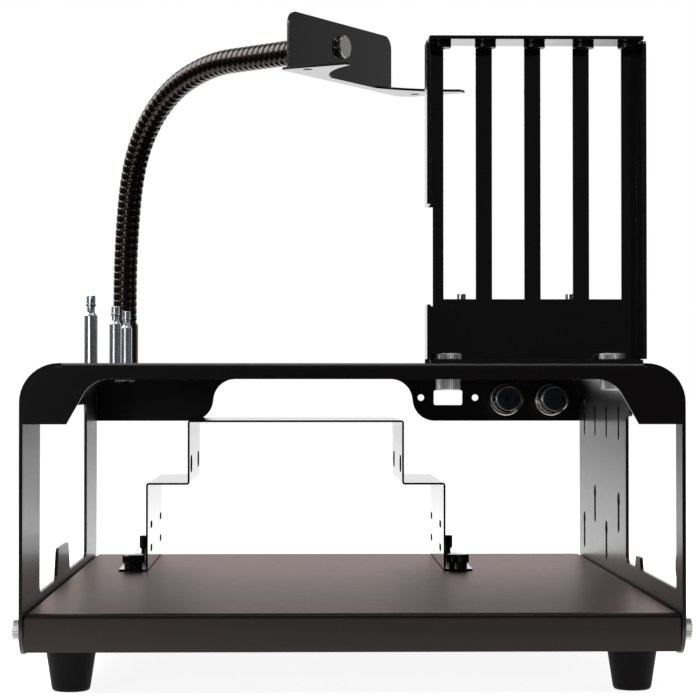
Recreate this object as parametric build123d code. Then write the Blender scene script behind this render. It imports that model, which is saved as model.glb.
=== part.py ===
from build123d import *
import math
import os

# Driving dimensions, in millimetres

# table sheet
WIDTH = 270.0
DEPTH = 346.0
SHEET = 1.5
TABLE_TOP = 134.4
SIDE_BOTTOM = 15.6
CORNER_R = 16.0
FOLD_R = 2.2
SEAM = 0.3
SIDE_CORNER_R = 12.0

# flanges at the near and far edges: a lip between lobes, with widths from the side to the slope's middle
NEAR_LIP = 6.5
NEAR_TALL = 18.3
NEAR_LOBE = 24.2
NEAR_LEAN = 10.4
FAR_LIP = 5.2
FAR_TALL = 23.0
FAR_LOBE_LEFT = 65.7
FAR_LOBE_RIGHT = 94.2
FAR_LEAN = 3.0
LOBE_R = 12.0

# side openings, set in from the near and far edges
WIN_TOP = 115.7
WIN_R = 5.0
LEFT_NEAR = 63.6
LEFT_FAR = 60.0
LEFT_BOTTOM = 36.0
TAB_OFF = 8.8
TAB_TOP_LEN = 46.0
TAB_BASE_LEN = 60.0
TAB_TALL = 13.8
TAB_R = 3.5
RIGHT_NEAR = 15.8
RIGHT_FAR = 182.0
RIGHT_BOTTOM = 41.4
BUMP_BACK = 38.7
BUMP_TOP_LEN = 12.3
BUMP_BASE_LEN = 17.7
BUMP_TALL = 5.5
BUMP_R = 1.8
HOOK_LEN = 13.0
HOOK_TALL = 4.8
BULGE_Z = 51.0
BULGE_LEN = 9.0
BULGE_DEEP = 2.0

# keyhole slots in the right side, set in from the far edge
SLOTS = 4
SLOT_BACK = 22.0
SLOT_STEP = 45.0
SLOT_LOW = 37.8
SLOT_RAISED = 54.0
SLOT_TALL = 19.5
SLOT_HIGH = 98.9
SLOT_HEAD = 7.6
SLOT_TAIL = 5.2

# base tray
TRAY_TOP = 33.0
TRAY_LIP = 15.6
TRAY_GAP = 0.3
TRAY_SET = 1.6
RETURN = 26.0

# screws and nuts
SCREW_D = 3.0
BIG_SCREW_D = 4.0
HOLE_CLEAR = 0.2
NUT_D = 6.4
NUT_H = 3.0
HEX_ACROSS = 7.0
HEAD_CHAMFER = 0.4
THUMB_D = 11.0

# feet
FOOT_IN = 19.3
FOOT_Y = 20.0
FOOT_TOP = 20.5
FOOT_BOTTOM = 15.8
FOOT_WELL = 8.4
FOOT_SEAT = 4.0
FOOT_HEAD_D = 7.6
FOOT_HEAD_H = 2.4

# side thumbscrews
SIDE_SCREW_Z = 25.6
SIDE_SCREW_Y = 9.0
SIDE_HEAD_D = 9.2
SIDE_HEAD_H = 3.4
SIDE_SCREW_LEN = 8.0

# card bracket
CARD_IN = 14.34
CARD_SLOTS = 4
CARD_SLOT = 20.32
CARD_OPEN = 13.5
CARD_EDGE = 7.9
CARD_Y = 29.5
CARD_DEEP = 20.0
CARD_TOP = 269.0
CARD_OPEN_FROM = 161.4
CARD_NOTCH_FROM = 158.5
CARD_NOTCH_TO = 199.7
CARD_NOTCH_DEEP = 3.4
CARD_FOOT_GAP = 0.3
CARD_FLANGE_R = 3.0
CARD_SHELF_IN = 1.1
CARD_SCREW_LEFT = 9.1
CARD_SCREW_RIGHT = 13.2
CARD_SCREW_BACK = 12.0
CARD_SCREW_LEN = 12.0
CARD_HEAD_H = 2.7
THUMB_NUT_D = 10.1
THUMB_NUT_H = 9.5
CLINCH_D = 8.8
CLINCH_H = 2.4
CLINCH_BACK = 10.0

# motherboard standoffs
BOARD_IN = 23.8
BOARD_Y = 58.3
BOARD_MID = 157.48
BOARD_FULL = 203.2
BOARD_STEP = 22.86
BOARD_ROW = 132.08
BOARD_LAST = 72.39
STANDOFF_D = 5.8
STANDOFF_H = 20.7
STANDOFF_CONE = 1.6
STANDOFF_TIP = 7.2
NECK_D = 3.45
NECK_H = 2.6
BARB_D = 4.4
BARB_H = 1.1
CROWN_D = 3.9
SLIT = 0.5
SLIT_DEEP = 1.5
STANDOFF_TURN = 50.0
STANDOFF_SCREW = 5.0
STANDOFF_NUT = 5.5
STANDOFF_NUT_H = 2.4

# flexible arm: leans in degrees where one bend passes into the next
ARM_IN = 21.5
ARM_BACK = 22.2
ARM_D = 12.4
ARM_PITCH = 3.7
ARM_GROOVE = 0.5
ARM_STRAIGHT = 12.4
ARM_R0 = 380.0
ARM_LEAN_1 = 8.0
ARM_R1 = 110.0
ARM_LEAN_2 = 17.0
ARM_R2 = 66.0
ARM_LEAN_3 = 68.0
ARM_R3 = 95.0
ARM_R4 = 60.0
FERRULE_D = 13.8
FERRULE_H = 23.5
FERRULE_SEAT = 6.0
ARM_SCREW_D = 6.0
ARM_SCREW_LEN = 8.0
ARM_NUT = 10.0
ARM_NUT_H = 5.0
ARM_NUT_TURN = 30.0
TIP_LEN = 9.0
TIP_OVER = 0.5

# fan plate
FAN_SHEET = 1.2
FAN_X = -29.9
FAN_Y = 133.0
FAN_TURN = 59.0
FAN_LEN = 119.0
FAN_MID = 57.6
FAN_WIDE = 35.0
FAN_PITCH = 105.0
FAN_HOLE_IN = 10.8
FAN_HOLE_D = 4.5
FAN_BORE_R = 62.0
FAN_STRIP = 5.3
FAN_CUT_R = 4.0
FAN_TIP_R = 2.0
FAN_NEAR_R = 3.0
FAN_BACK_R = 9.0
EAR_FROM = 6.3
EAR_TO = 105.2
EAR_TALL = 28.7
EAR_R = 6.5
PIVOT_U = 55.0
PIVOT_UP = 17.3
PIVOT_GAP = 0.1
PIVOT_CLEAR = 0.5
FAN_NECK_D = 9.0
FAN_NECK_H = 0.6
FAN_HEAD_H = 1.8

# drive bracket
DRIVE_X = -23.5
DRIVE_BACK = 7.0
DRIVE_DEEP = 118.0
DRIVE_SHEET = 1.0
DRIVE_LOW = 147.5
DRIVE_HIGH = 106.0
DRIVE_STEP = 44.0
DRIVE_TOP = 75.2
DRIVE_FOOT = 13.5
DRIVE_BEND = 0.4
DRIVE_HOLE_BACK = 10.75
DRIVE_HOLE_PITCH = 79.25
DRIVE_HOLE_UP = 9.9
DRIVE_HOLE_RISE = 11.9
DRIVE_HOLE_D = 3.6
GROMMET_BACK = 18.0
GROMMET_PITCH = 81.0
GROMMET_UP = 9.0
GROMMET_D = 8.6
DRIVE_SCREW_NEAR = 8.5
DRIVE_SCREW_FAR = 9.0
DRIVE_SCREW_LEN = 5.0
KNOB_D = 11.0
KNOB_H = 6.8
KNOB_NECK_D = 9.2
KNOB_NECK_H = 2.5
REAR_KNOB_D = 7.6
REAR_KNOB_H = 10.0
REAR_NECK_D = 5.8
REAR_NECK_H = 3.1

# push switches and socket opening in the far flange
SWITCH_IN = 17.6
SWITCH_PITCH = 25.0
SWITCH_DROP = 16.0
BARREL_D = 15.8
BARREL_LEN = 20.0
BEZEL_D = 18.0
BEZEL_H = 2.0
BUTTON_D = 11.4
BUTTON_UP = 1.5
BUTTON_GAP = 0.3
BUTTON_DEEP = 2.8
BUTTON_WELL = 5.0
RING_NUT_D = 18.8
RING_NUT_H = 2.6
BACK_D = 12.4
BACK_H = 2.4
LUG_APART = 6.0
LUG_W = 2.8
LUG_T = 0.8
LUG_LEN = 4.6
SOCKET_IN = 74.6
SOCKET_UP = 0.6
SOCKET_W = 15.8
SOCKET_H = 8.2
SOCKET_R = 1.0
SOCKET_PITCH = 30.0
SOCKET_HOLE_D = 3.6

# Worked-out values
NEAR = -(DEPTH + BEZEL_H + BUTTON_UP) / 2
FAR = NEAR + DEPTH
HALF = WIDTH / 2
INNER = HALF - SHEET
UNDER = TABLE_TOP - SHEET
TRAY_LOW = TRAY_TOP - TRAY_LIP
SMALL_HOLE = (SCREW_D + HOLE_CLEAR) / 2
BIG_HOLE = (BIG_SCREW_D + HOLE_CLEAR) / 2
OVER = 1.0
CARD_WIDE = 2 * CARD_EDGE + (CARD_SLOTS - 1) * CARD_SLOT + CARD_OPEN
CARD_RIGHT = HALF - CARD_IN
CARD_LEFT = CARD_RIGHT - CARD_WIDE
CARD_FAR = NEAR + CARD_Y
BOARD_X = -HALF + BOARD_IN
ARM_X = -HALF + ARM_IN
ARM_Y = NEAR + BOARD_Y + BOARD_ROW + BOARD_LAST + ARM_BACK
SWITCH_X = {"reset": HALF - SWITCH_IN, "power": HALF - SWITCH_IN - SWITCH_PITCH}
SWITCH_Z = TABLE_TOP - SWITCH_DROP
SOCKET_X = HALF - SOCKET_IN
SOCKET_Z = SWITCH_Z + SOCKET_UP
DRIVE_FAR = FAR - DRIVE_BACK
DRIVE_NEAR = DRIVE_FAR - DRIVE_DEEP


def block(x0, x1, y0, y1, z0, z1):
    mid = Pos((x0 + x1) / 2, (y0 + y1) / 2, (z0 + z1) / 2)
    return mid * Box(x1 - x0, y1 - y0, z1 - z0)


def rod_z(x, y, z0, z1, r):
    return Pos(x, y, (z0 + z1) / 2) * Cylinder(r, z1 - z0)


def rod_x(x0, x1, y, z, r):
    return Pos((x0 + x1) / 2, y, z) * Rot(0, 90, 0) * Cylinder(r, x1 - x0)


def rod_y(x, y0, y1, z, r):
    return Pos(x, (y0 + y1) / 2, z) * Rot(90, 0, 0) * Cylinder(r, y1 - y0)


def plate_xz(points, rounds, y0, y1):
    """Sheet outline in X and Z with rounded corners, given its Y span."""
    return Pos(0, y1, 0) * extrude(Plane.XZ * outline(points, rounds), amount=y1 - y0)


def plate_yz(points, rounds, x0, x1):
    """Outline in Y and Z with rounded corners, given its X span."""
    return Pos(x0, 0, 0) * extrude(Plane.YZ * outline(points, rounds), amount=x1 - x0)


def outline(points, rounds):
    face = make_face(Polyline(*points, close=True))
    for radius in sorted(set(rounds) - {0}):
        spots = [points[i] for i in range(len(points)) if rounds[i] == radius]
        picked = []
        for v in face.vertices():
            if any(math.hypot(v.X - s[0], v.Y - s[1]) < 1e-4 for s in spots):
                picked.append(v)
        face = fillet(picked, radius)
    return face


def turned(points):
    """Solid of revolution about Z from radius and height pairs."""
    face = make_face(Polyline(*points, close=True))
    return revolve(Plane.XZ * face, Axis.Z)


def thumbscrew(head_d, head_h, shank_d, shank_len):
    """Screw standing on Z = 0 with its shank pointing down."""
    r = head_d / 2
    c = HEAD_CHAMFER
    s = shank_d / 2
    pts = [(0, -shank_len), (s, -shank_len), (s, 0), (r - c, 0), (r, c), (r, head_h - c), (r - c, head_h)]
    return turned(pts + [(0, head_h)])


def necked_knob(knob_d, knob_h, neck_d, neck_h, shank_d, shank_len):
    """Screw with a narrow neck under its knob, standing on Z = 0."""
    r = knob_d / 2
    n = neck_d / 2
    s = shank_d / 2
    c = HEAD_CHAMFER
    pts = [(0, -shank_len), (s, -shank_len), (s, 0), (n, 0), (n, neck_h), (r, neck_h)]
    return turned(pts + [(r, knob_h - c), (r - c, knob_h), (0, knob_h)])


def ring(d_out, d_in, z0, z1):
    return rod_z(0, 0, z0, z1, d_out / 2) - rod_z(0, 0, z0 - OVER, z1 + OVER, d_in / 2)


def hex_nut(across, d_in, z0, z1):
    body = Pos(0, 0, z0) * extrude(RegularPolygon(across / 2, 6, major_radius=False), amount=z1 - z0)
    return body - rod_z(0, 0, z0 - OVER, z1 + OVER, d_in / 2)


def group(items):
    return Compound(children=list(items))


# Table sheet
def inner_block(inset, y0, y1):
    """Room inside the folded top and sides, less an inset all round."""
    solid = block(-INNER + inset, INNER - inset, y0, y1, SIDE_BOTTOM - SIDE_CORNER_R, UNDER - inset)
    edges = solid.edges().filter_by(Axis.Y).group_by(Axis.Z)[-1]
    return fillet(edges, CORNER_R - SHEET - inset)


def lobe_radius(lean, tall):
    """Radius at each end of a lobe's slope, no larger than the slope allows."""
    turn = math.pi / 2 - math.atan2(lean, tall)
    return min(LOBE_R, 0.49 * math.hypot(lean, tall) / math.tan(turn / 2))


def make_flange(lip, tall, lean, left, right, low_r, y0, y1):
    """Lip with a lobe at each end; left and right are the X of the slopes' middles."""
    high = TABLE_TOP - lip
    low = high - tall
    h = lean / 2
    r = lobe_radius(lean, tall)
    pts = [(-HALF, TABLE_TOP), (-HALF, low), (left - h, low), (left + h, high)]
    pts += [(right - h, high), (right + h, low), (HALF, low), (HALF, TABLE_TOP)]
    sheet = plate_xz(pts, [0, 0, low_r, r, r, low_r, 0, 0], y0, y1)
    return sheet & inner_block(SEAM, y0 - OVER, y1 + OVER)


def make_near_flange():
    x = HALF - NEAR_LOBE
    return make_flange(NEAR_LIP, NEAR_TALL, NEAR_LEAN, -x, x, 0, NEAR, NEAR + SHEET)


def make_far_flange():
    y0 = FAR - SHEET
    left = -HALF + FAR_LOBE_LEFT
    right = HALF - FAR_LOBE_RIGHT
    r = lobe_radius(FAR_LEAN, FAR_TALL)
    far = make_flange(FAR_LIP, FAR_TALL, FAR_LEAN, left, right, r, y0, FAR)
    for x in SWITCH_X.values():
        far -= rod_y(x, y0 - OVER, FAR + OVER, SWITCH_Z, (BARREL_D + HOLE_CLEAR) / 2)
    w = SOCKET_W / 2
    h = SOCKET_H / 2
    hole = [(SOCKET_X + sx * w, SOCKET_Z + sz * h) for sx, sz in ((-1, -1), (1, -1), (1, 1), (-1, 1))]
    far -= plate_xz(hole, [SOCKET_R] * 4, y0 - OVER, FAR + OVER)
    for side in (-1, 1):
        x = SOCKET_X + side * SOCKET_PITCH / 2
        far -= rod_y(x, y0 - OVER, FAR + OVER, SOCKET_Z, SOCKET_HOLE_D / 2)
    return far


def tab_points(mid, base, base_len, top_len, tall):
    """Corners of a trapezoid tab that stands on an opening's lower edge, far to near."""
    b = base_len / 2
    t = top_len / 2
    return [(mid + b, base), (mid + t, base + tall), (mid - t, base + tall), (mid - b, base)]


def left_window():
    y0 = NEAR + LEFT_NEAR
    y1 = FAR - LEFT_FAR
    mid = (y0 + y1) / 2 - TAB_OFF
    pts = [(y0, LEFT_BOTTOM), (y0, WIN_TOP), (y1, WIN_TOP), (y1, LEFT_BOTTOM)]
    pts += tab_points(mid, LEFT_BOTTOM, TAB_BASE_LEN, TAB_TOP_LEN, TAB_TALL)
    return plate_yz(pts, [WIN_R] * 4 + [TAB_R] * 4, -HALF - OVER, -INNER + OVER)


def right_window():
    y0 = NEAR + RIGHT_NEAR
    y1 = FAR - RIGHT_FAR
    y2 = y0 + BULGE_DEEP
    y3 = y1 - HOOK_LEN
    hook = WIN_TOP - HOOK_TALL
    low = BULGE_Z - BULGE_LEN / 2
    high = BULGE_Z + BULGE_LEN / 2
    step = BULGE_LEN / 4
    pts = [(y0, RIGHT_BOTTOM), (y0, low), (y2, low + step), (y2, high - step), (y0, high), (y0, WIN_TOP)]
    pts += [(y3, WIN_TOP), (y3, hook), (y1, hook), (y1, RIGHT_BOTTOM)]
    pts += tab_points(y1 - BUMP_BACK, RIGHT_BOTTOM, BUMP_BASE_LEN, BUMP_TOP_LEN, BUMP_TALL)
    b = BUMP_R
    return plate_yz(pts, [b, b, b, b, b, WIN_R, b, b, b, WIN_R, b, b, b, b], INNER - OVER, HALF + OVER)


def keyhole(y, z0, z1):
    r = SLOT_HEAD / 2
    t = SLOT_TAIL / 2
    x0 = INNER - OVER
    x1 = HALF + OVER
    tail = block(x0, x1, y - t, y + t, z0 + t, z1 - r)
    return rod_x(x0, x1, y, z1 - r, r) + tail + rod_x(x0, x1, y, z0 + t, t)


def make_table():
    outer = block(-HALF, HALF, NEAR, FAR, SIDE_BOTTOM, TABLE_TOP)
    outer = fillet(outer.edges().filter_by(Axis.Y).group_by(Axis.Z)[-1], CORNER_R)
    outer = fillet(outer.edges().filter_by(Axis.X).group_by(Axis.Z)[0], SIDE_CORNER_R)
    table = outer - inner_block(0, NEAR - OVER, FAR + OVER)
    # flanges, and the folds that join them to the top
    table += make_near_flange()
    table += make_far_flange()
    flat = HALF - CORNER_R - OVER
    for y0, y1 in ((NEAR, NEAR + SHEET), (FAR - SHEET, FAR)):
        table += block(-flat, flat, y0, y1, UNDER - SEAM - OVER, UNDER + SHEET / 2)
    r = FOLD_R
    for y, inward in ((NEAR, 1), (FAR, -1)):
        y0, y1 = sorted((y - inward * OVER, y + inward * r))
        corner = block(-flat, flat, y0, y1, TABLE_TOP - r, TABLE_TOP + OVER)
        table -= corner - rod_x(-HALF, HALF, y + inward * r, TABLE_TOP - r, r)
    # side openings and slots
    table -= left_window()
    table -= right_window()
    for i in range(SLOTS):
        y = FAR - SLOT_BACK - SLOT_STEP * i
        low = SLOT_LOW if i % 2 == 0 else SLOT_RAISED
        table -= keyhole(y, low, low + SLOT_TALL)
        table -= keyhole(y, SLOT_HIGH, SLOT_HIGH + SLOT_TALL)
    # screw holes
    for x, y in standoff_spots():
        table -= rod_z(x, y, UNDER - OVER, TABLE_TOP + OVER, SMALL_HOLE)
    for x, y in card_screw_spots():
        table -= rod_z(x, y, UNDER - OVER, TABLE_TOP + OVER, BIG_HOLE)
    table -= rod_z(ARM_X, ARM_Y, UNDER - OVER, TABLE_TOP + OVER, (ARM_SCREW_D + HOLE_CLEAR) / 2)
    for y in side_screw_y():
        table -= rod_x(-HALF - OVER, HALF + OVER, y, SIDE_SCREW_Z, SMALL_HOLE)
    return table


def side_screw_y():
    return (NEAR + SIDE_SCREW_Y, FAR - SIDE_SCREW_Y)


def standoff_spots():
    y = NEAR + BOARD_Y
    spots = [(BOARD_X, y), (BOARD_X + BOARD_MID, y - BOARD_STEP), (BOARD_X + BOARD_FULL, y - BOARD_STEP)]
    for dy in (BOARD_ROW, BOARD_ROW + BOARD_LAST):
        for dx in (0, BOARD_MID, BOARD_FULL):
            spots.append((BOARD_X + dx, y + dy))
    return spots


def card_screw_spots():
    y = CARD_FAR - CARD_SCREW_BACK
    return [(CARD_LEFT + CARD_SCREW_LEFT, y), (CARD_RIGHT - CARD_SCREW_RIGHT, y)]


# Base tray
def make_tray():
    x = INNER - TRAY_GAP
    y0 = NEAR + TRAY_SET
    y1 = FAR - TRAY_SET
    s = SHEET
    outer = block(-x, x, y0, y1, TRAY_LOW, TRAY_TOP)
    outer = fillet(outer.edges().group_by(Axis.Z)[-1], FOLD_R)
    inner = block(-x + s, x - s, y0 + s, y1 - s, TRAY_LOW - OVER, TRAY_TOP - s)
    inner = fillet(inner.edges().group_by(Axis.Z)[-1], FOLD_R - s)
    tray = outer - inner
    for side in (-1, 1):
        x0, x1 = sorted((side * (x - s / 2), side * (x - RETURN)))
        tray += block(x0, x1, y0 + s + SEAM, y1 - s - SEAM, TRAY_LOW, TRAY_LOW + s)
    for fx, fy in foot_spots():
        tray -= rod_z(fx, fy, TRAY_LOW - OVER, TRAY_LOW + s + OVER, BIG_HOLE)
    for y in side_screw_y():
        tray -= rod_x(-x - OVER, x + OVER, y, SIDE_SCREW_Z, SMALL_HOLE)
    for dx, dy in drive_screw_spots():
        tray -= rod_z(dx, dy, TRAY_TOP - s - OVER, TRAY_TOP + OVER, SMALL_HOLE)
    return tray


def foot_spots():
    x = HALF - FOOT_IN
    return [(sx * x, y) for sx in (-1, 1) for y in (NEAR + FOOT_Y, FAR - FOOT_Y)]


def make_foot():
    t = FOOT_TOP / 2
    b = FOOT_BOTTOM / 2
    w = FOOT_WELL / 2
    r = BIG_HOLE
    rim = (t - b) / 2
    pts = [(r, FOOT_SEAT), (w, FOOT_SEAT), (w, 0), (b - rim, 0), (b, rim), (t, TRAY_LOW - rim)]
    return turned(pts + [(t, TRAY_LOW), (r, TRAY_LOW)])


def make_foot_screw():
    h = FOOT_HEAD_D / 2
    s = BIG_SCREW_D / 2
    end = TRAY_LOW + SHEET + NUT_H + OVER
    low = FOOT_SEAT - FOOT_HEAD_H
    c = HEAD_CHAMFER
    pts = [(0, low), (h - c, low), (h, low + c), (h, FOOT_SEAT), (s, FOOT_SEAT), (s, end), (0, end)]
    return turned(pts)


# Card bracket
def make_card():
    s = SHEET
    x0 = CARD_LEFT
    x1 = CARD_RIGHT
    y1 = CARD_FAR
    y0 = y1 - CARD_DEEP
    base = TABLE_TOP
    shelf = CARD_TOP - s
    body = block(x0, x1, y0, y1, base, CARD_TOP)
    keep = body.edges().filter_by(Axis.Z).group_by(Axis.Y)[-1]
    keep += body.edges().filter_by(Axis.X).group_by(Axis.Y)[-1]
    body = fillet(keep, FOLD_R)
    card = body - block(x0 + s, x1 - s, y0 - OVER, y1 - s, base + s, shelf)
    for i in range(CARD_SLOTS):
        a = x0 + CARD_EDGE + CARD_SLOT * i
        card -= block(a, a + CARD_OPEN, y1 - s - OVER, y1 + OVER, CARD_OPEN_FROM, shelf)
    # the side flanges stop short of the shelf and of the foot
    top = shelf - SEAM / 2
    bend = y1 - FOLD_R - SEAM / 2
    r = CARD_FLANGE_R
    for x, inward in ((x0, 1), (x1, -1)):
        a, b = sorted((x - inward * OVER, x + inward * CARD_SHELF_IN))
        card -= block(a, b, y0 - OVER, y1 + OVER, shelf, CARD_TOP + OVER)
        a, b = sorted((x - inward * OVER, x + inward * s))
        card -= block(a, b, y0 - OVER, y1 + OVER, top, shelf)
        card -= block(a, b, y0 - OVER, bend, base - OVER, base + s + CARD_FOOT_GAP)
        corner = block(a, b, y0 - OVER, y0 + r, top - r, shelf)
        card -= corner - rod_x(a - OVER, b + OVER, y0 + r, top - r, r)
    notch = x0 + CARD_NOTCH_DEEP
    card -= block(x0 - OVER, notch, y0 - OVER, y1 + OVER, CARD_NOTCH_FROM, CARD_NOTCH_TO)
    for x, y in card_screw_spots():
        card -= rod_z(x, y, base - OVER, base + s + OVER, BIG_HOLE)
    for x, y in clinch_spots():
        card -= rod_z(x, y, shelf - OVER, CARD_TOP + OVER, SMALL_HOLE)
    return card


def clinch_spots():
    """Nuts over the bars; the outer two stand clear of the side flanges."""
    first = CARD_LEFT + CARD_EDGE + (CARD_OPEN - CARD_SLOT) / 2
    room = SHEET + TRAY_GAP + CLINCH_D / 2
    y = CARD_FAR - CARD_DEEP + CLINCH_BACK
    spots = []
    for i in range(CARD_SLOTS + 1):
        x = first + CARD_SLOT * i
        spots.append((min(max(x, CARD_LEFT + room), CARD_RIGHT - room), y))
    return spots


# Standoffs
def make_standoff():
    """Post with a split snap tip: neck, barb and crown above a cone."""
    body = STANDOFF_D / 2
    screw = SCREW_D / 2
    neck = NECK_D / 2
    barb = BARB_D / 2
    crown = CROWN_D / 2
    z0 = STANDOFF_H + STANDOFF_CONE
    z1 = z0 + NECK_H
    z2 = z0 + STANDOFF_TIP
    z3 = z1 + BARB_H
    c = (crown - neck) / 2
    pts = [(0, -STANDOFF_SCREW), (screw, -STANDOFF_SCREW), (screw, 0), (body, 0), (body, STANDOFF_H)]
    pts += [(neck, z0), (neck, z1), (barb, z1 + c), (barb, z3 - c), (crown, z3)]
    pts += [(crown, z2 - 2 * c), (crown - 2 * c, z2), (0, z2)]
    slit = block(-SLIT / 2, SLIT / 2, -BARB_D, BARB_D, z2 - SLIT_DEEP, z2 + OVER)
    return turned(pts) - slit


# Flexible arm
def pivot_point():
    turn = math.radians(FAN_TURN)
    return FAN_X + PIVOT_U * math.cos(turn), NEAR + FAN_Y + PIVOT_U * math.sin(turn)


def arm_profile():
    """Distance out and height where each bend of the arm starts, passes its middle and ends."""
    leans = [0, ARM_LEAN_1, ARM_LEAN_2, ARM_LEAN_3, 90]
    out = 0.0
    z = TABLE_TOP + FERRULE_H + ARM_STRAIGHT
    ends = [(out, z)]
    mids = []
    for i, r in enumerate((ARM_R0, ARM_R1, ARM_R2, ARM_R3)):
        a = math.radians(leans[i])
        b = math.radians(leans[i + 1])
        m = (a + b) / 2
        mids.append((out + r * (math.cos(a) - math.cos(m)), z + r * (math.sin(m) - math.sin(a))))
        out += r * (math.cos(a) - math.cos(b))
        z += r * (math.sin(b) - math.sin(a))
        ends.append((out, z))
    return ends, mids


def fan_level():
    return arm_profile()[0][-1][1] - PIVOT_UP


def arm_plan():
    """Heading and level run of the arm, then the middle and end of its last turn, seen from above."""
    turn = math.radians(FAN_TURN - 90)
    nx = math.cos(turn)
    ny = math.sin(turn)
    px, py = pivot_point()
    gap = FAN_SHEET + PIVOT_GAP + TIP_LEN
    end = (px - nx * gap, py - ny * gap)
    cx = end[0] - ny * ARM_R4
    cy = end[1] + nx * ARM_R4
    away = math.hypot(cx - ARM_X, cy - ARM_Y)
    heading = math.atan2(cy - ARM_Y, cx - ARM_X) - math.asin(ARM_R4 / away)
    run = math.sqrt(away * away - ARM_R4 * ARM_R4)
    half = (heading + turn) / 2
    mid = (cx + ARM_R4 * math.sin(half), cy - ARM_R4 * math.cos(half))
    return heading, run, mid, end


def make_arm_path():
    ends, mids = arm_profile()
    heading, run, mid, end = arm_plan()

    def at(out, z):
        return (ARM_X + math.cos(heading) * out, ARM_Y + math.sin(heading) * out, z)

    z = ends[-1][1]
    lines = [Line(at(0, TABLE_TOP + FERRULE_H - FERRULE_SEAT), at(*ends[0]))]
    for i in range(len(mids)):
        lines.append(ThreePointArc(at(*ends[i]), at(*mids[i]), at(*ends[i + 1])))
    lines.append(Line(at(*ends[-1]), at(run, z)))
    lines.append(ThreePointArc(at(run, z), (*mid, z), (*end, z)))
    return Wire(lines), heading


def make_arm():
    """Ribbed hose: circles that narrow and swell along the arm, joined by straight bands."""
    path, heading = make_arm_path()
    ribs = round(path.length / ARM_PITCH)
    step = path.length / (2 * ribs)
    sections = []
    for i in range(2 * ribs + 1):
        spot = path.position_at(i * step, position_mode=PositionMode.LENGTH)
        along = path.tangent_at(i * step, position_mode=PositionMode.LENGTH)
        level = math.hypot(along.X, along.Y)
        turn = math.atan2(along.Y, along.X) if level > 1e-6 else heading
        radius = ARM_D / 2 if i % 2 else ARM_D / 2 - ARM_GROOVE
        across = (-math.sin(turn), math.cos(turn), 0)
        sections.append(Plane(spot, x_dir=across, z_dir=along) * Circle(radius))
    return loft(sections, ruled=True)


def make_ferrule():
    r = FERRULE_D / 2
    h = FERRULE_H
    a = (ARM_D + HOLE_CLEAR) / 2
    rim = (r - a) / 2
    seat = h - FERRULE_SEAT
    pts = [(0, 0), (r, 0), (r, h - 3 * rim), (r - rim, h), (a, h), (a, seat), (0, seat)]
    body = turned(pts) + rod_z(0, 0, -ARM_SCREW_LEN, OVER, ARM_SCREW_D / 2)
    return Pos(ARM_X, ARM_Y, TABLE_TOP) * body


def fan_frame():
    """Local frame of the fan plate: X along the fold, Z up, outward is minus Y."""
    return Pos(FAN_X, NEAR + FAN_Y, fan_level()) * Rot(0, 0, FAN_TURN)


def make_tip():
    r = ARM_D / 2 + TIP_OVER
    bore = BIG_SCREW_D / 2
    pts = [(bore, 0), (r - 2 * TIP_OVER, 0), (r, 2 * TIP_OVER), (r, TIP_LEN), (bore, TIP_LEN)]
    return fan_frame() * Pos(PIVOT_U, FAN_SHEET + PIVOT_GAP, PIVOT_UP) * Rot(-90, 0, 0) * turned(pts)


def make_fan_screw():
    shank = FAN_SHEET + 2 * PIVOT_GAP + TIP_LEN - OVER
    body = necked_knob(THUMB_D, FAN_NECK_H + FAN_HEAD_H, FAN_NECK_D, FAN_NECK_H, BIG_SCREW_D, shank)
    return fan_frame() * Pos(PIVOT_U, -PIVOT_GAP, PIVOT_UP) * Rot(90, 0, 0) * body


def fan_cut():
    """Round air way of the fan, stopped by a strip along the fold."""
    mid = -FAN_HOLE_IN - FAN_PITCH / 2
    cut = rod_z(FAN_MID, mid, -OVER, FAN_SHEET + OVER, FAN_BORE_R)
    cut &= block(0, FAN_LEN, mid, -FAN_STRIP, -OVER, FAN_SHEET + OVER)
    return fillet(cut.edges().filter_by(Axis.Z).group_by(Axis.Y)[-1], FAN_CUT_R)


def make_fan_plate():
    s = FAN_SHEET
    plate = block(0, FAN_LEN, -FAN_WIDE, s, 0, s)
    corners = plate.edges().filter_by(Axis.Z).group_by(Axis.Y)[-1].sort_by(Axis.X)
    plate = fillet(corners[0], FAN_NEAR_R)
    corners = plate.edges().filter_by(Axis.Z).group_by(Axis.X)[-1].sort_by(Axis.Y)
    plate = fillet(corners[-1], FAN_BACK_R)
    plate = fillet(plate.edges().filter_by(Axis.Z).group_by(Axis.Y)[0], FAN_TIP_R)
    plate -= fan_cut()
    for side in (-1, 1):
        plate -= rod_z(FAN_MID + side * FAN_PITCH / 2, -FAN_HOLE_IN, -OVER, s + OVER, FAN_HOLE_D / 2)
    pts = [(EAR_FROM, s / 2), (EAR_FROM, EAR_TALL), (EAR_TO, EAR_TALL), (EAR_TO, s / 2)]
    plate += plate_xz(pts, [0, EAR_R, EAR_R, 0], 0, s)
    plate -= rod_y(PIVOT_U, -OVER, s + OVER, PIVOT_UP, (BIG_SCREW_D + PIVOT_CLEAR) / 2)
    return fan_frame() * plate


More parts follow.
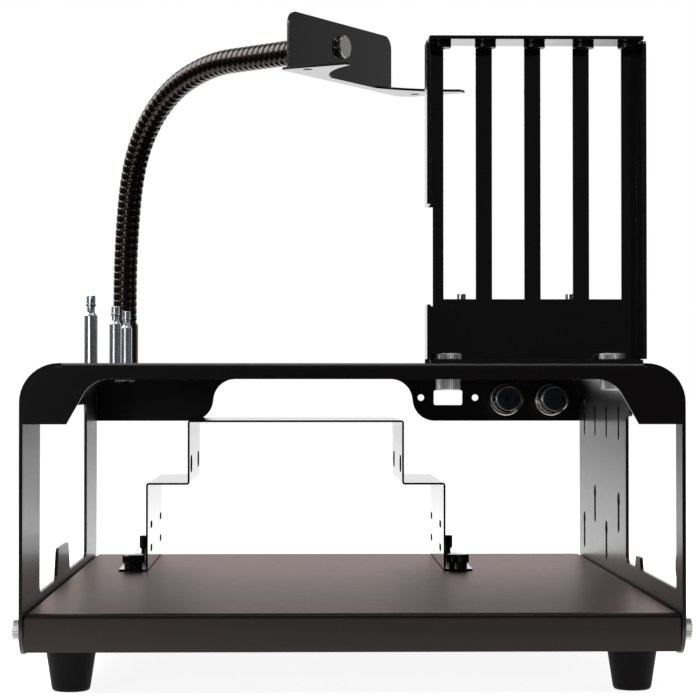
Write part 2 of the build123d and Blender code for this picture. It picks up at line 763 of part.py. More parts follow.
# Drive bracket
def make_drive():
    t = DRIVE_SHEET
    a = DRIVE_LOW / 2
    b = DRIVE_HIGH / 2
    foot = a + t + DRIVE_FOOT
    z = TRAY_TOP
    m = z + DRIVE_STEP
    h = z + DRIVE_TOP
    right = [(foot, z), (foot, z + t), (a + t, z + t), (a + t, m), (b + t, m), (b + t, h)]
    under = [(b, h - t), (b, m - t), (a, m - t), (a, z)]
    pts = right + [(-x, y) for x, y in reversed(right)]
    pts += [(-x, y) for x, y in reversed(under)]
    pts += under
    pts = [(x + DRIVE_X, y) for x, y in pts]
    small = DRIVE_BEND
    large = DRIVE_BEND + t
    side = [0, 0, small, large, small, large]
    rounds = side + side[::-1] + [large, small, large, small] + [small, large, small, large]
    body = plate_xz(pts, rounds, DRIVE_NEAR, DRIVE_FAR)
    x0 = DRIVE_X - foot
    x1 = DRIVE_X + foot
    for y in (DRIVE_FAR - DRIVE_HOLE_BACK - DRIVE_HOLE_PITCH, DRIVE_FAR - DRIVE_HOLE_BACK):
        for up in (DRIVE_HOLE_UP, DRIVE_HOLE_UP + DRIVE_HOLE_RISE):
            body -= rod_x(x0, x1, y, z + up, DRIVE_HOLE_D / 2)
    for y in (DRIVE_FAR - GROMMET_BACK - GROMMET_PITCH, DRIVE_FAR - GROMMET_BACK):
        body -= rod_x(x0, x1, y, m + GROMMET_UP, GROMMET_D / 2)
    for x, y in drive_screw_spots():
        body -= rod_z(x, y, z - OVER, z + t + OVER, SMALL_HOLE)
    return body


def drive_screw_spots():
    """Two screws at the near end of the bracket's feet, then two at the far end."""
    x = DRIVE_LOW / 2 + DRIVE_SHEET + DRIVE_FOOT / 2
    rows = (DRIVE_NEAR + DRIVE_SCREW_NEAR, DRIVE_FAR - DRIVE_SCREW_FAR)
    return [(DRIVE_X + sx * x, y) for y in rows for sx in (-1, 1)]


# Push switches, pointing along Y with the face of the flange at FAR
def switch_frame(x):
    return Pos(x, FAR, SWITCH_Z) * Rot(-90, 0, 0)


def make_barrel(x):
    r = BARREL_D / 2
    bore = BUTTON_D / 2 + BUTTON_GAP
    e = BEZEL_D / 2
    c = HEAD_CHAMFER
    pts = [(0, -BARREL_LEN), (r, -BARREL_LEN), (r, 0), (e, 0), (e, BEZEL_H - c), (e - c, BEZEL_H)]
    pts += [(bore, BEZEL_H), (bore, -BUTTON_WELL), (0, -BUTTON_WELL)]
    return switch_frame(x) * turned(pts)


def make_terminal(x):
    back = -BARREL_LEN - BACK_H
    body = rod_z(0, 0, back, -BARREL_LEN, BACK_D / 2)
    lug = block(-LUG_T / 2, LUG_T / 2, -LUG_W / 2, LUG_W / 2, back - LUG_LEN, back + BACK_H / 2)
    for side in (-1, 1):
        body += Pos(side * LUG_APART / 2, 0, 0) * lug
    return switch_frame(x) * body


def make_button(x):
    r = BUTTON_D / 2
    top = BEZEL_H + BUTTON_UP
    c = HEAD_CHAMFER
    pts = [(0, -BUTTON_DEEP), (r, -BUTTON_DEEP), (r, top - c), (r - c, top), (0, top)]
    return switch_frame(x) * turned(pts)


def side_hardware():
    """Thumbscrews in the sides and the nuts that they turn into on the tray's lips."""
    screw = thumbscrew(SIDE_HEAD_D, SIDE_HEAD_H, SCREW_D, SIDE_SCREW_LEN)
    nut = ring(NUT_D, SCREW_D, 0, NUT_H)
    lip = INNER - TRAY_GAP - SHEET
    screws = []
    nuts = []
    for y in side_screw_y():
        for sx in (-1, 1):
            screws.append(Pos(sx * HALF, y, SIDE_SCREW_Z) * Rot(0, 90 * sx, 0) * screw)
            nuts.append(Pos(sx * lip, y, SIDE_SCREW_Z) * Rot(0, -90 * sx, 0) * nut)
    return screws, nuts


def build():
    nodes = {}
    nodes["top_frame"] = make_table()
    nodes["base_tray"] = make_tray()
    foot = make_foot()
    for i, (x, y) in enumerate(foot_spots()):
        nodes[f"foot_{i + 1}"] = Pos(x, y, 0) * foot
    screw = make_foot_screw()
    nodes["foot_screws"] = group(Pos(x, y, 0) * screw for x, y in foot_spots())
    seat = TRAY_LOW + SHEET
    nut = hex_nut(HEX_ACROSS, BIG_SCREW_D, seat, seat + NUT_H)
    nodes["foot_nuts"] = group(Pos(x, y, 0) * nut for x, y in foot_spots())
    side_screws, side_nuts = side_hardware()
    nodes["side_thumbscrews"] = group(side_screws)
    nodes["side_nuts"] = group(side_nuts)
    nodes["card_bracket"] = make_card()
    screw = thumbscrew(THUMB_D, CARD_HEAD_H, BIG_SCREW_D, CARD_SCREW_LEN)
    top = TABLE_TOP + SHEET
    nodes["card_thumbscrews"] = group(Pos(x, y, top) * screw for x, y in card_screw_spots())
    nut = ring(THUMB_NUT_D, BIG_SCREW_D, -THUMB_NUT_H, 0)
    nodes["card_thumb_nuts"] = group(Pos(x, y, UNDER) * nut for x, y in card_screw_spots())
    nut = ring(CLINCH_D, SCREW_D, -CLINCH_H, 0)
    shelf = CARD_TOP - SHEET
    nodes["card_clinch_nuts"] = group(Pos(x, y, shelf) * nut for x, y in clinch_spots())
    post = make_standoff()
    posts = []
    for i, (x, y) in enumerate(standoff_spots()):
        posts.append(Pos(x, y, TABLE_TOP) * Rot(0, 0, STANDOFF_TURN * i) * post)
    nodes["standoffs"] = group(posts)
    nut = hex_nut(STANDOFF_NUT, SCREW_D, -STANDOFF_NUT_H, 0)
    nodes["standoff_nuts"] = group(Pos(x, y, UNDER) * nut for x, y in standoff_spots())
    nodes["arm_ferrule"] = make_ferrule()
    nodes["arm_hose"] = make_arm()
    nut = hex_nut(ARM_NUT, ARM_SCREW_D, -ARM_NUT_H, 0)
    nodes["arm_nut"] = Pos(ARM_X, ARM_Y, UNDER) * Rot(0, 0, ARM_NUT_TURN) * nut
    nodes["arm_tip"] = make_tip()
    nodes["fan_plate"] = make_fan_plate()
    nodes["fan_thumbscrew"] = make_fan_screw()
    nodes["drive_bracket"] = make_drive()
    spots = drive_screw_spots()
    top = TRAY_TOP + DRIVE_SHEET
    knob = necked_knob(KNOB_D, KNOB_H, KNOB_NECK_D, KNOB_NECK_H, SCREW_D, DRIVE_SCREW_LEN)
    nodes["drive_front_screws"] = group(Pos(x, y, top) * knob for x, y in spots[:2])
    knob = necked_knob(REAR_KNOB_D, REAR_KNOB_H, REAR_NECK_D, REAR_NECK_H, SCREW_D, DRIVE_SCREW_LEN)
    nodes["drive_rear_screws"] = group(Pos(x, y, top) * knob for x, y in spots[2:])
    nut = ring(NUT_D, SCREW_D, -NUT_H, 0)
    nodes["drive_nuts"] = group(Pos(x, y, TRAY_TOP - SHEET) * nut for x, y in spots)
    for name, x in SWITCH_X.items():
        nodes[f"{name}_barrel"] = make_barrel(x)
        nodes[f"{name}_nut"] = switch_frame(x) * ring(RING_NUT_D, BARREL_D, -SHEET - RING_NUT_H, -SHEET)
        nodes[f"{name}_terminal"] = make_terminal(x)
        nodes[f"{name}_button"] = make_button(x)
    return nodes


os.makedirs("parts", exist_ok=True)
for node_name, shape in build().items():
    export_step(shape, f"parts/{node_name}.step")
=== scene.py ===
"""Finished look of an open air test bench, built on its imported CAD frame."""

from __future__ import annotations

import logging
import math
from dataclasses import dataclass
from enum import Enum
from typing import Callable, Sequence

import bmesh
import bpy
from mathutils import Matrix, Vector

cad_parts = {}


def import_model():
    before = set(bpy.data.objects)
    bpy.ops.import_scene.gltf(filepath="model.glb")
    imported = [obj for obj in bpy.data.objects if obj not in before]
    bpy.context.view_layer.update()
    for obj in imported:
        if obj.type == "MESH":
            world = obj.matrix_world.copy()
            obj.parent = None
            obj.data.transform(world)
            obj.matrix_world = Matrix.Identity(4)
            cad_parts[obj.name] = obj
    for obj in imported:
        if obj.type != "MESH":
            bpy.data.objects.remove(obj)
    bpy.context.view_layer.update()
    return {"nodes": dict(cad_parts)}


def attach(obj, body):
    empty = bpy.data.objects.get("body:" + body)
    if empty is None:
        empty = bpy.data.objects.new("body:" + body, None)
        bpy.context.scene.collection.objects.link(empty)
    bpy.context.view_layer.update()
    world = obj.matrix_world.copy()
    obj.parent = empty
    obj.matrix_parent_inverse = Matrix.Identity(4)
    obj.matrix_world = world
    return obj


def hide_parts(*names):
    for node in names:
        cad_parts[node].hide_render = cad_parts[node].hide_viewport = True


LOG = logging.getLogger("bench")
MM = 0.001
JOIN = 2e-6
SHARP_EDGE = math.radians(40)
SMOOTH_EDGE = math.radians(32)
UPRIGHT = 0.9999
FLAT_WEIGHT = 80
POINT_R = 1e-6
SLACK = 1e-9
KNURL_DEPTH = 0.28
KNURL_CHAMFER = 0.45
Profile = tuple[tuple[float, float], ...]

# Sizes repeated from the part's source, in millimetres
DEPTH = 346.0
HALF = 135.0
SHEET = 1.5
TABLE_TOP = 134.4
TRAY_TOP = 33.0
DRIVE_SHEET = 1.0
SIDE_SCREW_Z = 25.6
SWITCH_DROP = 16.0
SWITCH_Z = TABLE_TOP - SWITCH_DROP
SWITCH_HEAD = 2.0
BUTTON_OUT = 1.5
NEAR = -(DEPTH + SWITCH_HEAD + BUTTON_OUT) / 2
FAR = NEAR + DEPTH
ARM_IN = 21.5
ARM_DEEP = 284.97
ARM_X = -HALF + ARM_IN
ARM_Y = NEAR + ARM_DEEP
FERRULE_H = 23.5
FERRULE_SEAT = 6.0
ARM_STRAIGHT = 12.4
FAN_X = -29.9
FAN_DEEP = 133.0
FAN_SPOT = (FAN_X, NEAR + FAN_DEEP)
FAN_TURN = 59.0
PIVOT_U = 55.0
FAN_SHEET = 1.2
PIVOT_CLEAR = 0.1
TIP_LEN = 9.0
PIVOT_GAP = FAN_SHEET + PIVOT_CLEAR + TIP_LEN


class Knurl(Enum):
    """How a turned ring is cut round its rim."""

    PLAIN = 0
    STRAIGHT = 1


@dataclass(frozen=True)
class Finish:
    """One surface finish.

    Attributes:
        name: Material name.
        slot: Material slot of the record that it belongs to; not used by the script.
        base: Linear base colour.
        metallic: Metallic value of the shader.
        rough: Roughness of the shader.
        specular: Specular level of the shader.
        tint: Colour of the sheen at low angles.
        lacquer: Weight of the clear layer on top.
        grain: Scale of the fine grain.
        depth: Depth of the fine grain in metres.
        spread: How far the roughness wanders over the surface.
    """

    name: str
    slot: str
    base: tuple[float, float, float]
    metallic: float = 0.0
    rough: float = 0.4
    specular: float = 0.5
    tint: tuple[float, float, float] = (1.0, 1.0, 1.0)
    lacquer: float = 0.0
    grain: float = 1200.0
    depth: float = 0.00001
    spread: float = 0.02

    def material(self) -> bpy.types.Material:
        """Makes the material, or returns the one made before.

        Returns:
            The material of this finish.
        """
        found = bpy.data.materials.get(self.name)
        if found:
            return found
        mat = bpy.data.materials.new(self.name)
        mat.use_nodes = True
        nodes = mat.node_tree.nodes
        links = mat.node_tree.links
        shader = nodes["Principled BSDF"]
        shader.inputs["Base Color"].default_value = (*self.base, 1.0)
        shader.inputs["Metallic"].default_value = self.metallic
        shader.inputs["Specular IOR Level"].default_value = self.specular
        shader.inputs["Specular Tint"].default_value = (*self.tint, 1.0)
        shader.inputs["Coat Weight"].default_value = self.lacquer
        shader.inputs["Coat Roughness"].default_value = 0.5 * self.rough
        coords = nodes.new("ShaderNodeTexCoord")
        grain = nodes.new("ShaderNodeGroup")
        grain.node_tree = grain_group()
        grain.inputs["Scale"].default_value = self.grain
        grain.inputs["Depth"].default_value = self.depth
        grain.inputs["Smoothest"].default_value = self.rough - self.spread / 2
        grain.inputs["Roughest"].default_value = self.rough + self.spread / 2
        links.new(coords.outputs["Object"], grain.inputs["Vector"])
        links.new(grain.outputs["Roughness"], shader.inputs["Roughness"])
        links.new(grain.outputs["Normal"], shader.inputs["Normal"])
        return mat


def grain_group() -> bpy.types.NodeTree:
    """Shared fine grain and wandering gloss of every surface.

    Returns:
        The node group, made on first use.
    """
    found = bpy.data.node_groups.get("fine_grain")
    if found:
        return found
    tree = bpy.data.node_groups.new("fine_grain", "ShaderNodeTree")
    face = tree.interface
    face.new_socket("Vector", in_out="INPUT", socket_type="NodeSocketVector")
    face.new_socket("Scale", in_out="INPUT", socket_type="NodeSocketFloat")
    face.new_socket("Depth", in_out="INPUT", socket_type="NodeSocketFloat")
    face.new_socket("Smoothest", in_out="INPUT", socket_type="NodeSocketFloat")
    face.new_socket("Roughest", in_out="INPUT", socket_type="NodeSocketFloat")
    face.new_socket("Normal", in_out="OUTPUT", socket_type="NodeSocketVector")
    face.new_socket("Roughness", in_out="OUTPUT", socket_type="NodeSocketFloat")
    source = tree.nodes.new("NodeGroupInput")
    sink = tree.nodes.new("NodeGroupOutput")
    noise = tree.nodes.new("ShaderNodeTexNoise")
    noise.inputs["Detail"].default_value = 3.0
    bump = tree.nodes.new("ShaderNodeBump")
    bump.inputs["Strength"].default_value = 0.35
    cloud = tree.nodes.new("ShaderNodeTexNoise")
    cloud.inputs["Scale"].default_value = 180.0
    cloud.inputs["Detail"].default_value = 4.0
    wander = tree.nodes.new("ShaderNodeMapRange")
    wander.inputs["From Min"].default_value = 0.3
    wander.inputs["From Max"].default_value = 0.7
    tree.links.new(source.outputs["Vector"], noise.inputs["Vector"])
    tree.links.new(source.outputs["Vector"], cloud.inputs["Vector"])
    tree.links.new(source.outputs["Scale"], noise.inputs["Scale"])
    tree.links.new(source.outputs["Depth"], bump.inputs["Distance"])
    tree.links.new(noise.outputs["Fac"], bump.inputs["Height"])
    tree.links.new(bump.outputs["Normal"], sink.inputs["Normal"])
    tree.links.new(cloud.outputs["Fac"], wander.inputs["Value"])
    tree.links.new(source.outputs["Smoothest"], wander.inputs["To Min"])
    tree.links.new(source.outputs["Roughest"], wander.inputs["To Max"])
    tree.links.new(wander.outputs["Result"], sink.inputs["Roughness"])
    return tree


BLACK = (0.0045, 0.0032, 0.0028)
BROWN = (0.062, 0.053, 0.050)
WARM = (1.0, 0.86, 0.84)
UMBER = (1.0, 0.80, 0.74)
SOOT = (0.004, 0.003, 0.003)
COAT = Finish("sheet_black_satin", "black_coat", BLACK, rough=0.3, lacquer=0.12)
GLOSS = Finish("sheet_black_gloss", "black_coat", BLACK, rough=0.13, lacquer=0.4)
TRAY = Finish(
    "tray_black_grain",
    "black_coat",
    BROWN,
    metallic=1.0,
    rough=0.38,
    tint=WARM,
    grain=1400.0,
    depth=0.00004,
)
ARM = Finish("arm_black_gloss", "arm_black", (0.006, 0.004, 0.0035), rough=0.15, tint=UMBER)
RUBBER = Finish("foot_rubber", "rubber", SOOT, rough=0.6, specular=0.12, grain=900.0, depth=0.0001)
ZINC = Finish("bright_zinc", "zinc", (0.70, 0.73, 0.77), metallic=1.0, rough=0.27)
STEEL = Finish("bright_nickel", "bright_steel", (0.80, 0.79, 0.76), metallic=1.0, rough=0.22)
KNURLED = Finish("knurled_nickel", "bright_steel", (0.80, 0.80, 0.79), metallic=1.0, rough=0.48)
DARK = Finish("black_nickel", "dark_steel", (0.012, 0.011, 0.011), rough=0.22, specular=0.7)
BLUE = Finish("terminal_plastic", "blue_plastic", (0.10, 0.11, 0.15), rough=0.3)


@dataclass(frozen=True)
class Ring:
    """One ring of a turned profile.

    Attributes:
        r: Radius in millimetres.
        z: Height along the axis in millimetres.
        knurl: How the ring's rim is cut.
    """

    r: float
    z: float
    knurl: Knurl = Knurl.PLAIN


def knurled(r: float, z0: float, z1: float) -> list[Ring]:
    """Rings of a knurled band with small chamfers.

    Args:
        r: Outer radius in millimetres.
        z0: Lower end in millimetres.
        z1: Upper end in millimetres.

    Returns:
        The band's rings, from low to high.
    """
    c = KNURL_CHAMFER
    low = Ring(r - c, z0)
    high = Ring(r - c, z1)
    return [low, Ring(r, z0 + c, Knurl.STRAIGHT), Ring(r, z1 - c, Knurl.STRAIGHT), high]


def add_piece(
    name: str,
    bm: bmesh.types.BMesh,
    finish: Finish,
    body: str,
    nodes: Sequence[str],
) -> bpy.types.Object:
    """Turns a mesh under construction into a finished piece of the model.

    Args:
        name: Name of the piece.
        bm: The mesh, in metres in the row's frame; it is freed.
        finish: The piece's finish.
        body: CAD body that the piece moves with.
        nodes: CAD nodes that it stands in for.

    Returns:
        The new object.
    """
    bmesh.ops.recalc_face_normals(bm, faces=bm.faces)
    mesh = bpy.data.meshes.new(name)
    bm.to_mesh(mesh)
    bm.free()
    for poly in mesh.polygons:
        poly.use_smooth = True
    mesh.set_sharp_from_angle(angle=SMOOTH_EDGE)
    mesh.materials.append(finish.material())
    obj = bpy.data.objects.new(name, mesh)
    bpy.context.scene.collection.objects.link(obj)
    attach(obj, body)
    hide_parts(*nodes)
    LOG.info("%s moves with %s", name, body)
    return obj


def lathe(bm: bmesh.types.BMesh, rings: Sequence[Ring], place: Matrix, steps: int = 72) -> None:
    """Adds a turned body to a mesh.

    Args:
        bm: Mesh that receives the body.
        rings: Profile from one end to the other; ends with radius 0 are closed.
        place: Placement of the body, in metres.
        steps: Number of steps round the axis.
    """
    rows: list[list[bmesh.types.BMVert]] = []
    for ring in rings:
        if ring.r < POINT_R:
            rows.append([bm.verts.new(place @ Vector((0, 0, ring.z * MM)))])
            continue
        row = []
        for j in range(steps):
            cut = KNURL_DEPTH if ring.knurl is Knurl.STRAIGHT and j % 2 else 0.0
            a = math.tau * j / steps
            r = (ring.r - cut) * MM
            row.append(bm.verts.new(place @ Vector((r * math.cos(a), r * math.sin(a), ring.z * MM))))
        rows.append(row)
    for low, high in zip(rows, rows[1:]):
        for j in range(steps):
            k = (j + 1) % steps
            if len(low) == 1 and len(high) == 1:
                continue
            if len(low) == 1:
                bm.faces.new((low[0], high[j], high[k]))
            elif len(high) == 1:
                bm.faces.new((low[j], low[k], high[0]))
            else:
                bm.faces.new((low[j], low[k], high[k], high[j]))


def at(x: float, y: float, z: float, turn: Matrix | None = None) -> Matrix:
    """Placement at a point given in millimetres.

    Args:
        x: Position along X.
        y: Position along Y.
        z: Position along Z.
        turn: Optional rotation applied first.

    Returns:
        The placement matrix.
    """
    place = Matrix.Translation((x * MM, y * MM, z * MM))
    return place @ turn if turn else place


def tilt(axis: str, degrees: float) -> Matrix:
    """Rotation about one row axis.

    Args:
        axis: X, Y or Z.
        degrees: Angle by the right-hand rule.

    Returns:
        The rotation matrix.
    """
    return Matrix.Rotation(math.radians(degrees), 4, axis)


def islands(node: bpy.types.Object) -> list[Vector]:
    """Middles of the separate solids of a CAD node.

    Args:
        node: The CAD node.

    Returns:
        Middle of each solid's box in millimetres, sorted by X and then Y.
    """
    bm = bmesh.new()
    bm.from_mesh(node.data)
    bmesh.ops.remove_doubles(bm, verts=bm.verts, dist=JOIN)
    left = set(bm.verts)
    middles = []
    while left:
        edge = [left.pop()]
        found = []
        while edge:
            vert = edge.pop()
            found.append(node.matrix_world @ vert.co)
            for near in (e.other_vert(vert) for e in vert.link_edges):
                if near in left:
                    left.remove(near)
                    edge.append(near)
        low = Vector(min(v[i] for v in found) for i in range(3))
        high = Vector(max(v[i] for v in found) for i in range(3))
        middles.append((low + high) / (2 * MM))
    bm.free()
    return sorted(middles, key=lambda v: (round(v.x, 2), round(v.y, 2)))


@dataclass
class SoftPiece:
    """A piece taken from its CAD node, with softened edges.

    Attributes:
        node: CAD node.
        finish: Its finish.
        edge: Width of the softened edge in millimetres.
        body: CAD body that it moves with.
        obj: The finished object, once it is built.
    """

    node: str
    finish: Finish = COAT
    edge: float = 0.08
    body: str = "bench"
    obj: bpy.types.Object | None = None

    def build(self, cad: dict[str, bpy.types.Object]) -> None:
        """Copies the node's mesh, joins its faces and softens its sharp edges.

        Args:
            cad: CAD nodes by name.
        """
        bm = bmesh.new()
        bm.from_mesh(cad[self.node].data)
        bmesh.ops.remove_doubles(bm, verts=bm.verts, dist=JOIN)
        self.shape(bm)
        sharp = [e for e in bm.edges if len(e.link_faces) == 2 and e.calc_face_angle(0.0) > SHARP_EDGE]
        bmesh.ops.bevel(
            bm,
            geom=sharp,
            offset=self.edge * MM,
            offset_type="OFFSET",
            segments=2,
            profile=0.5,
            affect="EDGES",
            clamp_overlap=True,
        )
        self.obj = add_piece(f"{self.node}_finished", bm, self.finish, self.body, [self.node])

    def shape(self, bm: bmesh.types.BMesh) -> None:
        """Leaves the form as it is."""

    def dress(self) -> None:
        """Keeps flat faces flat beside their softened edges."""
        weighted = self.obj.modifiers.new("flat_faces", "WEIGHTED_NORMAL")
        weighted.mode = "FACE_AREA"
        weighted.keep_sharp = True
        weighted.weight = FLAT_WEIGHT


def wall_islands(bm: bmesh.types.BMesh) -> list[set[bmesh.types.BMFace]]:
    """Connected flat faces that look along X.

    Args:
        bm: The mesh.

    Returns:
        The faces of each flat side.
    """
    left = {f for f in bm.faces if abs(f.normal.x) > UPRIGHT}
    found = []
    while left:
        edge = [left.pop()]
        island = set(edge)
        while edge:
            face = edge.pop()
            for near in {f for e in face.edges for f in e.link_faces} & left:
                left.remove(near)
                island.add(near)
                edge.append(near)
        found.append(island)
    return found


def rim_loops(rim: Sequence[bmesh.types.BMEdge]) -> list[set[bmesh.types.BMVert]]:
    """Points of each closed loop of a flat side's rim.

    Args:
        rim: The rim's edges.

    Returns:
        The loops, from the shortest to the longest along Y.
    """
    near: dict[bmesh.types.BMVert, list[bmesh.types.BMVert]] = {}
    for one, two in (e.verts for e in rim):
        near.setdefault(one, []).append(two)
        near.setdefault(two, []).append(one)
    loops = []
    while near:
        edge = [next(iter(near))]
        loop = set(edge)
        while edge:
            for vert in near.pop(edge.pop(), ()):
                if vert not in loop:
                    loop.add(vert)
                    edge.append(vert)
        loops.append(loop)
    return sorted(loops, key=lambda loop: max(v.co.y for v in loop) - min(v.co.y for v in loop))


def widen_holes(bm: bmesh.types.BMesh, grow: float, low: float, high: float, refill: bool) -> None:
    """Makes the holes of the upright sides longer along Y.

    Args:
        bm: The mesh.
        grow: How far each end of a hole moves, in millimetres.
        low: Least height of a hole that changes, in millimetres.
        high: Greatest height of a hole that changes, in millimetres.
        refill: Whether the flat sides round the holes are filled anew.
    """
    for island in wall_islands(bm):
        rim = [e for f in island for e in f.edges if sum(near in island for near in e.link_faces) == 1]
        holes = []
        for loop in rim_loops(rim)[:-1]:
            tall = max(v.co.z for v in loop) - min(v.co.z for v in loop)
            if low * MM < tall < high * MM:
                holes.append(loop)
        if not holes:
            continue
        normal = next(iter(island)).normal.copy()
        if refill:
            bmesh.ops.delete(bm, geom=list(island), context="FACES")
        for loop in holes:
            middle = (max(v.co.y for v in loop) + min(v.co.y for v in loop)) / 2
            for vert in loop:
                if abs(vert.co.y - middle) > JOIN:
                    vert.co.y += math.copysign(grow * MM, vert.co.y - middle)
        if refill:
            bmesh.ops.triangle_fill(bm, use_beauty=True, use_dissolve=False, edges=rim, normal=normal)


@dataclass
class TopFrame(SoftPiece):
    """The folded table, with its long slots and tight seams.

    Attributes:
        corner_r: Outer radius of the folded edges in millimetres.
        seam: Width of the CAD model's seams in millimetres.
        seam_reach: How far a point may lie from a seam's edge and still belong to it, in millimetres.
        left_open: Width of the finished seams in millimetres.
        slot_grow: How far each side of a slot moves, in millimetres.
        slot_low: Least height of a slot in millimetres.
        slot_high: Greatest height of a slot in millimetres.
    """

    corner_r: float = 16.0
    seam: float = 0.3
    seam_reach: float = 0.05
    left_open: float = 0.04
    slot_grow: float = 0.8
    slot_low: float = 10.0
    slot_high: float = 45.0

    def shape(self, bm: bmesh.types.BMesh) -> None:
        """Closes the seams beside the two folded edges and opens the slots to their width.

        Args:
            bm: The mesh.
        """
        widen_holes(bm, self.slot_grow, self.slot_low, self.slot_high, refill=False)
        inner_r = self.corner_r - SHEET
        hub = Vector((HALF - self.corner_r, TABLE_TOP - self.corner_r))
        step = self.seam - self.left_open
        for vert in bm.verts:
            x, y, z = vert.co / MM
            if NEAR + SHEET + JOIN / MM < y < FAR - SHEET - JOIN / MM:
                continue
            away = Vector((max(abs(x) - hub.x, 0.0), max(z - hub.y, 0.0)))
            if abs(away.length - (inner_r - self.seam)) > self.seam_reach:
                continue
            away *= step / away.length
            vert.co.x += math.copysign(away.x, x) * MM
            vert.co.z += away.y * MM


@dataclass
class DriveBracket(SoftPiece):
    """The folded drive bracket, with long screw slots in its sides.

    Attributes:
        slot_grow: How far each end of a hole moves, in millimetres.
        hole_low: Least height of a hole in millimetres.
        hole_high: Greatest height of a hole in millimetres.
    """

    slot_grow: float = 6.0
    hole_low: float = 2.0
    hole_high: float = 10.0

    def shape(self, bm: bmesh.types.BMesh) -> None:
        """Makes the side holes into slots.

        Args:
            bm: The mesh.
        """
        widen_holes(bm, self.slot_grow, self.hole_low, self.hole_high, refill=True)


@dataclass
class TurnedSet:
    """Equal turned pieces that share one finish.

    Attributes:
        node: CAD node that they stand in for.
        finish: Their finish.
        rings: Their profile.
        places: Placement of each piece.
        body: CAD body that they move with.
        steps: Steps round the axis.
    """

    node: str
    finish: Finish
    rings: list[Ring]
    places: list[Matrix]
    body: str = "bench"
    steps: int = 72

    def build(self) -> None:
        """Turns each piece and joins them in one object."""
        bm = bmesh.new()
        for place in self.places:
            lathe(bm, self.rings, place, self.steps)
        add_piece(f"{self.node}_finished", bm, self.finish, self.body, [self.node])


@dataclass
class FlexArm:
    """The ribbed arm that carries the fan plate.

    Attributes:
        bends: Radius in millimetres, first lean and last lean in degrees of each upright arc.
        turn_r: Radius of the level arc at the end in millimetres.
        pitch: Length of one rib in millimetres.
        radius: Radius at the grooves in millimetres.
        ridge: Height of a rib in millimetres.
        shape: Outline of one rib, as shares of its height.
        steps: Steps round the hose.
        crease: Angle in degrees from which an edge stays sharp.
    """

    bends: tuple[tuple[float, float, float], ...] = ((380, 0, 8), (110, 8, 17), (66, 17, 68), (95, 68, 90))
    turn_r: float = 60.0
    pitch: float = 3.7
    radius: float = 5.75
    ridge: float = 0.45
    shape: tuple[float, ...] = (0.0, 0.7, 0.93, 0.99, 1.0, 0.99, 0.93, 0.7)
    steps: int = 40
    crease: float = 80.0

    def spans(self) -> list[tuple[float, Callable[[float], tuple[Vector, Vector]]]]:
        """Straight runs and arcs of the arm, in order.

        Returns:
            Length of each span and a function that gives point and direction along it.
        """
        turn = math.radians(FAN_TURN - 90.0)
        n = Vector((math.cos(turn), math.sin(turn), 0))
        u = Vector((-n.y, n.x, 0))
        end = Vector((*FAN_SPOT, 0)) + u * PIVOT_U - n * PIVOT_GAP
        centre = end + u * self.turn_r
        away = centre - Vector((ARM_X, ARM_Y, 0))
        far = away.length
        heading = math.atan2(away.y, away.x) - math.asin(self.turn_r / far)
        run = math.sqrt(far * far - self.turn_r**2)
        out = Vector((math.cos(heading), math.sin(heading), 0))
        up = Vector((0, 0, 1))
        foot = Vector((ARM_X, ARM_Y, TABLE_TOP + FERRULE_H - FERRULE_SEAT))
        rise = FERRULE_SEAT + ARM_STRAIGHT
        result: list[tuple[float, Callable[[float], tuple[Vector, Vector]]]] = []
        result.append((rise, lambda t, p=foot: (p + up * t, up)))
        spot = foot + up * rise
        for r, a, b in self.bends:
            a, b = math.radians(a), math.radians(b)

            def bend(t: float, p: Vector = spot, r: float = r, a: float = a) -> tuple[Vector, Vector]:
                """Point and direction on one upright arc.

                Args:
                    t: Way along the arc in millimetres.
                    p: Start of the arc.
                    r: Radius of the arc in millimetres.
                    a: Lean at the start in radians.

                Returns:
                    The point and the direction there.
                """
                c = a + t / r
                step = out * (math.cos(a) - math.cos(c)) + up * (math.sin(c) - math.sin(a))
                return p + step * r, out * math.sin(c) + up * math.cos(c)

            result.append((r * (b - a), bend))
            spot = bend(r * (b - a))[0]
        flat = run - (spot - foot).dot(out)
        result.append((flat, lambda t, p=spot: (p + out * t, out)))
        hub = Vector((centre.x, centre.y, spot.z))

        def swing(t: float) -> tuple[Vector, Vector]:
            """Point and direction on the level arc.

            Args:
                t: Way along the arc in millimetres.

            Returns:
                The point and the direction there.
            """
            c = heading + t / self.turn_r
            spoke = Vector((math.sin(c), -math.cos(c), 0))
            return hub + spoke * self.turn_r, Vector((math.cos(c), math.sin(c), 0))

        result.append((self.turn_r * (turn - heading), swing))
        return result

    def build(self) -> None:
        """Makes the ribbed hose along the arm's runs and arcs."""
        spans = self.spans()
        total = sum(length for length, _ in spans)
        count = round(total / self.pitch) * len(self.shape)
        rows = []
        side = Vector((1, 0, 0))
        bm = bmesh.new()
        for i in range(count + 1):
            s = total * i / count
            for length, way in spans:
                if s <= length + SLACK:
                    break
                s -= length
            point, ahead = way(min(s, length))
            side = (side - ahead * side.dot(ahead)).normalized()
            cross = ahead.cross(side)
            r = self.radius + self.ridge * self.shape[i % len(self.shape)]
            row = []
            for j in range(self.steps):
                a = math.tau * j / self.steps
                row.append(bm.verts.new((point + (side * math.cos(a) + cross * math.sin(a)) * r) * MM))
            rows.append(row)
        for low, high in zip(rows, rows[1:]):
            for j in range(self.steps):
                k = (j + 1) % self.steps
                bm.faces.new((low[j], low[k], high[k], high[j]))
        bm.faces.new(list(reversed(rows[0])))
        bm.faces.new(rows[-1])
        obj = add_piece("arm_hose_finished", bm, ARM, "bench", ["arm_hose"])
        obj.data.set_sharp_from_angle(angle=math.radians(self.crease))


